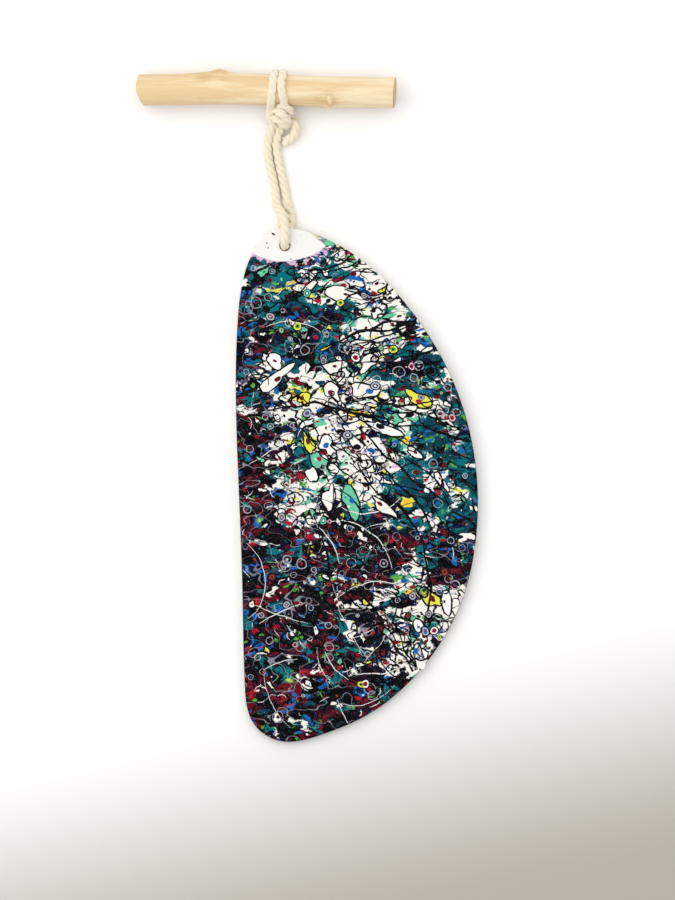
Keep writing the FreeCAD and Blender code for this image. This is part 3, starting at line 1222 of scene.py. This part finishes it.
def blob_radius(angle, seed, unevenness):
    """How far an uneven outline stands out at an angle, as a share of its size."""
    return 1.0 + unevenness * noise.noise(Vector((math.cos(angle) * 0.9, math.sin(angle) * 0.9, seed)))


def rim_point(x, y, reach, angle, stretch, turn):
    """A point at a reach and an angle from (x, y), on an outline that is stretched and then turned."""
    along = reach * math.cos(angle) * stretch
    aside = reach * math.sin(angle) / stretch
    return (x + along * math.cos(turn) - aside * math.sin(turn),
            y + along * math.sin(turn) + aside * math.cos(turn))


def add_dab(x, y, size, paint, lift=0.0, stretch=1.0, turn=0.0, seed=0.0, segments=8, unevenness=0.5):
    """A thin closed disc of one paint on the face."""
    made = bmesh.ops.create_cone(dabs, cap_ends=True, segments=segments, radius1=1.0, radius2=0.9, depth=2.0)
    for vert in made["verts"]:
        angle = math.atan2(vert.co.y, vert.co.x)
        reach = math.hypot(vert.co.x, vert.co.y) * size * blob_radius(angle, seed, unevenness)
        px, py = rim_point(x, y, reach, angle, stretch, turn)
        side = FILM if vert.co.z > 0 else -FILM
        vert.co = (px * MM, py * MM, (face_height(py) + lift + side) * MM)
    for face in {face for vert in made["verts"] for face in vert.link_faces}:
        face.material_index = DAB_PAINTS.index(paint)


# %% A line: a tube that is flattened afterwards
LINE_PAINTS = {
    "ink_lines": ("ink", "burgundy", "deep_teal"),
    "pale_lines": ("white", "grey", "lilac"),
    "paint_rings": ("grey", "white", "ink", "crimson", "lilac"),
}
lines = {name: new_curve(name, 1.0 * MM) for name in LINE_PAINTS}
for curve in lines.values():
    curve.use_fill_caps = True


def add_line(kind, points, widths, paint, closed=False):
    """One line or ring. Where it would leave the painted part it is cut."""
    runs = [[]]
    for (x, y), width in zip(points, widths):
        if may_paint(x, y):
            runs[-1].append((x, y, width))
        elif runs[-1]:
            runs.append([])
    whole = len(runs[0]) == len(points)
    for run in runs:
        if len(run) < 3:
            continue
        spline = lines[kind].splines.new("POLY")
        spline.points.add(len(run) - 1)
        for point, (x, y, width) in zip(spline.points, run):
            point.co = (x * MM, y * MM, face_height(y) * MM, 1.0)
            point.radius = width
        spline.material_index = LINE_PAINTS[kind].index(paint)
        spline.use_cyclic_u = closed and whole


# %% Long lines that sweep across the board
def sweep(x, y, heading, length, bend, wobble, count):
    """Points of a slightly unsteady bent line."""
    points = []
    seed = dice.uniform(0, 90)
    for k in range(count):
        points.append((x, y))
        share = k / (count - 1)
        turn = heading + bend * (share - 0.5) + wobble * noise.noise(Vector((k * 0.45, seed, 0.0)))
        x += length / count * math.cos(turn)
        y += length / count * math.sin(turn)
    return points


def tapered(width, count):
    """Widths that swell and thin out along a line."""
    seed = dice.uniform(0, 90)
    widths = []
    for k in range(count):
        swell = 0.35 + 0.65 * math.sin(math.pi * (k + 0.5) / count)
        uneven = 1.0 + 0.5 * noise.noise(Vector((k * 0.8, seed, 3.0)))
        widths.append(width * swell * uneven)
    return widths


def flow_heading(y):
    """Which way the strokes run: level high up, falling to the right in the middle and below."""
    fall = float(ease(-y, -20.0, 30.0))
    return math.radians(dice.gauss(6.0 - 58.0 * fall, 20.0))


def any_heading():
    """Any way at all."""
    return dice.uniform(0, 2 * math.pi)


# %% Long ink lines and short curly ones over the light paint
LONG_LINES = 66
SHORT_LINES = 96

for _ in range(LONG_LINES):
    x, y = somewhere(dice.choice(("light", "light", "light", "teal")))
    count = dice.randint(14, 26)
    length = dice.uniform(14.0, 56.0)
    points = sweep(x, y, flow_heading(y), length, dice.uniform(-0.9, 0.9), 0.7, count)
    add_line("ink_lines", points, tapered(dice.uniform(0.26, 0.56), count), "ink")
print("long ink lines, in pieces:", len(lines["ink_lines"].splines))
for _ in range(SHORT_LINES):
    x, y = somewhere("light")
    count = dice.randint(7, 12)
    heading = any_heading()
    points = sweep(x, y, heading, dice.uniform(4.0, 16.0), dice.uniform(-5.0, 5.0), 1.2, count)
    widths = tapered(dice.uniform(0.22, 0.44), count)
    add_line("ink_lines", points, widths, dice.choice(("ink", "ink", "ink", "burgundy", "deep_teal")))

# %% Pale scratches and ticks over the dark paint
SCRATCHES = 26
TICKS = 60
TICK_POINTS = 7

for _ in range(SCRATCHES):
    x, y = somewhere("dark")
    count = dice.randint(16, 26)
    heading = flow_heading(y) + dice.choice((0.0, 1.3))
    points = sweep(x, y, heading, dice.uniform(12.0, 42.0), dice.uniform(-1.6, 1.6), 0.45, count)
    widths = tapered(dice.uniform(0.10, 0.26), count)
    add_line("pale_lines", points, widths, dice.choice(("white", "white", "grey")))
for _ in range(TICKS):
    x, y = somewhere("dark")
    heading = any_heading()
    points = sweep(x, y, heading, dice.uniform(1.5, 6.0), dice.uniform(-2.5, 2.5), 1.0, TICK_POINTS)
    widths = tapered(dice.uniform(0.08, 0.20), TICK_POINTS)
    add_line("pale_lines", points, widths, dice.choice(("white", "grey")))
print("pale lines, in pieces:", len(lines["pale_lines"].splines))

# %% [markdown]
# ## Pebbles, eyes, rings and dots
#
# After the lines come small closed shapes: pale islands with an ink outline, eyes made of one colour inside
# another, thin rings, and dots. A shape drawn by hand is never quite round, so each one is a circle that soft
# noise pushes in and out. An island and its outline share one seed, so that they fit each other.

# %% Pebbles: a pale island with an ink outline and a seed in it
PEBBLES = 112
PEBBLE_POINTS = 16
PEBBLE_ZONES = ("light", "light", "light", "light", "light", "teal")
PEBBLE_FILLS = ("white", "white", "white", "primer", "primer", "primer", "primer", "primer", "lime", "mint")
PEBBLE_SEEDS = ("crimson", "burgundy", "burgundy", "blue", "ink", None)


def pebble(x, y, size, stretch, turn, fill, seed_paint):
    """One outlined island, with a dab of colour inside."""
    seed = dice.uniform(0, 90)
    add_dab(x, y, size, fill, 0.0, stretch, turn, seed, PEBBLE_POINTS, 1.0)
    outline = []
    for k in range(PEBBLE_POINTS):
        angle = 2 * math.pi * k / PEBBLE_POINTS
        outline.append(rim_point(x, y, size * blob_radius(angle, seed, 1.0), angle, stretch, turn))
    widths = [dice.uniform(0.20, 0.46) for _ in outline]
    add_line("ink_lines", outline, widths, "ink", closed=True)
    if seed_paint:
        off = 0.25 * size
        seed_x = x + dice.uniform(-off, off)
        seed_y = y + dice.uniform(-off, off)
        seed_size = size * dice.uniform(0.18, 0.36)
        add_dab(seed_x, seed_y, seed_size, seed_paint, 0.03, stretch ** 0.5, turn, seed + 1)


for _ in range(PEBBLES):
    zone = dice.choice(PEBBLE_ZONES)
    size = dice.uniform(1.0, 4.2 if zone == "light" else 2.0)
    x, y = somewhere(zone, size * 1.3)
    if zone_at("dark", x, y) > 0.4:
        size = min(size, 1.3)
    turn = flow_heading(y) + dice.uniform(-0.5, 0.5)
    fill = dice.choice(PEBBLE_FILLS)
    seed_paint = dice.choice(PEBBLE_SEEDS)
    pebble(x, y, size, dice.uniform(1.0, 1.7), turn, fill, seed_paint)
print("with the pebbles the dabs have", len(dabs.faces), "faces")

# %% Eyes: rings of colour one inside another
EYE_COUNT = 40
EYE_SHARES = (1.0, 0.78, 0.5, 0.24)
EYES = (
    ("ink", "lime", "green", "ink"),
    ("ink", "white", "crimson", "burgundy"),
    ("ink", "green", "grey", "ink"),
    ("burgundy", "lilac", "crimson", "ink"),
    ("ink", "grey", "blue", "crimson"),
    ("navy", "grey", "ink", "white"),
    ("ink", "mint", "teal", "white"),
    ("ink", "grey", "burgundy", "grey"),
    ("ink", "burgundy", "rust", "ink"),
)
for _ in range(EYE_COUNT):
    size = dice.uniform(0.9, 2.3)
    x, y = somewhere(dice.choice(("light", "teal", "dark")), size * 1.3)
    turn = dice.uniform(0, math.pi)
    seed = dice.uniform(0, 90)
    for layer, (paint, share) in enumerate(zip(dice.choice(EYES), EYE_SHARES)):
        add_dab(x, y, size * share, paint, 0.012 * (layer + 1), 1.08, turn, seed, 12, 0.35)

# %% Rings, mostly over the dark paint
RING_POINTS = 13
RINGS = (
    # how many, zone, paints, smallest and largest size in mm
    (62, "dark", ("white", "white", "lilac"), 0.9, 2.5),
    (36, "teal", ("white", "grey", "ink"), 0.7, 1.9),
    (44, "light", ("crimson", "ink", "ink"), 0.5, 1.2),
)
YOLKS = ("burgundy", "blue", "grey", "crimson", "deep_teal")
for count, zone, paints, small, large in RINGS:
    for _ in range(count):
        size = dice.uniform(small, large)
        x, y = somewhere(zone, size)
        seed = dice.uniform(0, 90)
        ring = []
        for k in range(RING_POINTS):
            angle = 2 * math.pi * k / RING_POINTS
            ring.append(rim_point(x, y, size * blob_radius(angle, seed, 0.3), angle, 1.0, 0.0))
        wide = dice.uniform(0.08, 0.24)
        widths = [wide * dice.uniform(0.6, 1.2) for _ in ring]
        add_line("paint_rings", ring, widths, dice.choice(paints), closed=True)
        if dice.random() < 0.5:
            add_dab(x, y, size * 0.35, dice.choice(YOLKS), 0.01, seed=seed, segments=7)
print("rings, in pieces:", len(lines["paint_rings"].splines))

# %% Dots of every colour
DOTS = (
    (240, "light", ("burgundy", "crimson", "ink", "blue", "ink", "burgundy", "teal")),
    (110, "teal", ("white", "mint", "ink", "navy", "blue", "primer")),
    (120, "dark", ("white", "blue", "teal", "crimson", "grey", "rust", "primer", "primer")),
)
for count, zone, paints in DOTS:
    for _ in range(count):
        size = dice.uniform(0.18, 0.62)
        x, y = somewhere(zone, size)
        paint = dice.choice(paints)
        stretch = dice.uniform(1.0, 1.4)
        turn = dice.uniform(0, math.pi)
        add_dab(x, y, size, paint, 0.006, stretch, turn, dice.uniform(0, 90), 7, 0.7)
print("with the dots the dabs have", len(dabs.faces), "faces")

# %% The few specks on the bare lens
LENS_SPECKS = (
    # place counted from the hole, size, stretch and turn, paint
    (-4.6, 4.6, 0.62, 1.5, -0.7, "ink"),
    (-7.2, 1.0, 0.36, 1.1, 0.0, "burgundy"),
    (-6.7, -0.9, 0.32, 1.1, 0.4, "burgundy"),
    (6.4, 4.2, 0.2, 1.0, 0.0, "grey"),
    (4.6, 1.6, 0.18, 1.2, 0.3, "grey"),
    (2.4, -5.4, 0.28, 1.0, 0.0, "ink"),
)
for x, y, size, stretch, turn, paint in LENS_SPECKS:
    add_dab(HOLE[0] + x, HOLE[1] + y, size, paint, 0.0, stretch, turn, 4.0, 8, 0.6)

# %% Finish the dabs
bmesh.ops.recalc_face_normals(dabs, faces=dabs.faces)
dab_mesh = bpy.data.meshes.new("paint_dabs")
dabs.to_mesh(dab_mesh)
dabs.free()
print("the dabs have", len(dab_mesh.polygons), "faces")

# %% Flatten the lines into films of paint
LINE_FLATNESS = 0.10
LINE_LIFT = {"ink_lines": 0.016, "pale_lines": 0.022, "paint_rings": 0.019}
THICKEST = 0.03
painted_pieces = [show("paint_dabs", dab_mesh)]
for name, curve in lines.items():
    mesh = mesh_of(curve)
    for vert in mesh.vertices:
        level = face_height(vert.co.y / MM)
        above = (vert.co.z / MM - level) * LINE_FLATNESS
        vert.co.z = (level + LINE_LIFT[name] + max(-THICKEST, min(THICKEST, above))) * MM
    painted_pieces.append(show(name, mesh))
    print(name, "has", len(mesh.polygons), "faces")

# %% [markdown]
# ## The paints
#
# Each mark is one colour from the box, but real paint is never even: it is thinner where the brush ran dry,
# and it dries with a slight skin. One function makes all the paints alike, with a mottle in the colour, in
# the gloss and in the relief.


# %% One paint
def paint_material(name):
    """A dry acrylic paint in one colour of the box."""
    material, tree, shader = start_material("paint_" + name, 0.5)
    mottle = cloud(place_in_mm(tree), 0.9, 3.0, 0.65)
    worn = cloud(place_in_mm(tree), 0.28, 2.0)
    thin = tuple(0.88 * part + 0.12 * other for part, other in zip(PAINTS[name], PAINTS["grey"]))
    colour = mix(rise(mottle, 0.45, 0.75), PAINTS[name], thin, 0.6)
    coat(shader, colour, times(mottle, 0.3, 0.32), PAINT_SHINE)
    bump(shader, worn, 0.3, 0.03)
    return material


paints = {name: paint_material(name) for name in PAINTS}
for piece in painted_pieces:
    for name in LINE_PAINTS.get(piece.name, DAB_PAINTS):
        piece.data.materials.append(paints[name])
    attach(piece, "blade")
print("painted pieces:", [piece.name for piece in painted_pieces])
